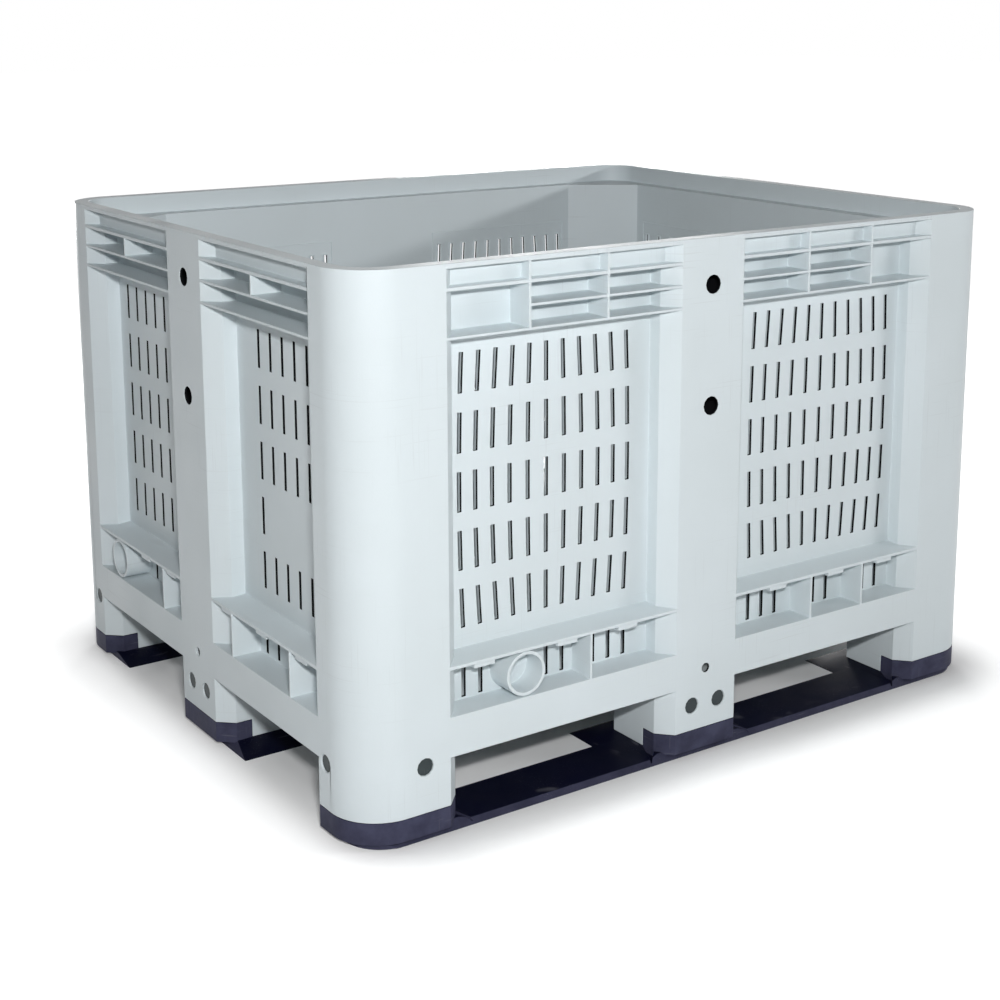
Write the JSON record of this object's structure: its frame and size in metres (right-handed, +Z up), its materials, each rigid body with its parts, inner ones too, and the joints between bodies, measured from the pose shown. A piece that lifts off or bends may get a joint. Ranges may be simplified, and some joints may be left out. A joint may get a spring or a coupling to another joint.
{
  "type": "pallet box",
  "caption": "Perforated open-top plastic pallet box on runner skids, with hollow corner and centre posts, a ribbed rim, sill pockets with drain spigots and fork entries on every side.",
  "frame": {"origin": "on the floor, under the middle of the box", "axes": "+X along the long side, +Y from the pictured long side to the hidden one, +Z up"},
  "size_m": [1.2, 1, 0.79],
  "materials": {
    "box_plastic": "injection-moulded polyethylene, fine satin grain",
    "skid_plastic": "recycled polyethylene, satin with scuffs",
    "plug_plastic": "moulded polypropylene, matt"
  },
  "bodies": {
    "root": {"centre_leg": "box_plastic", "centre_post_back": "box_plastic", "centre_post_front": "box_plastic", "centre_post_left": "box_plastic", "centre_post_right": "box_plastic", "corner_post_back_left": "box_plastic", "corner_post_back_right": "box_plastic", "corner_post_front_left": "box_plastic", "corner_post_front_right": "box_plastic", "drain_spigots": "box_plastic", "floor_deck": "box_plastic", "floor_rib_grid": "box_plastic", "mid_leg_back": "box_plastic", "mid_leg_front": "box_plastic", "mid_leg_left": "box_plastic", "mid_leg_right": "box_plastic", "rib_grid_back_a": "box_plastic", "rib_grid_back_b": "box_plastic", "rib_grid_front_a": "box_plastic", "rib_grid_front_b": "box_plastic", "rib_grid_left_a": "box_plastic", "rib_grid_left_b": "box_plastic", "rib_grid_right_a": "box_plastic", "rib_grid_right_b": "box_plastic", "rim_band_back": "box_plastic", "rim_band_front": "box_plastic", "rim_band_left": "box_plastic", "rim_band_right": "box_plastic", "sill_back_a": "box_plastic", "sill_back_b": "box_plastic", "sill_front_a": "box_plastic", "sill_front_b": "box_plastic", "sill_left_a": "box_plastic", "sill_left_b": "box_plastic", "sill_right_a": "box_plastic", "sill_right_b": "box_plastic", "skid_back": "skid_plastic", "skid_front": "skid_plastic", "skid_middle": "skid_plastic", "skid_plugs": "plug_plastic", "skirt_beam_back_a": "box_plastic", "skirt_beam_back_b": "box_plastic", "skirt_beam_front_a": "box_plastic", "skirt_beam_front_b": "box_plastic", "skirt_beam_left_a": "box_plastic", "skirt_beam_left_b": "box_plastic", "skirt_beam_right_a": "box_plastic", "skirt_beam_right_b": "box_plastic", "wall_skin_back": "box_plastic", "wall_skin_front": "box_plastic", "wall_skin_left": "box_plastic", "wall_skin_right": "box_plastic"}
  },
  "joints": []
}
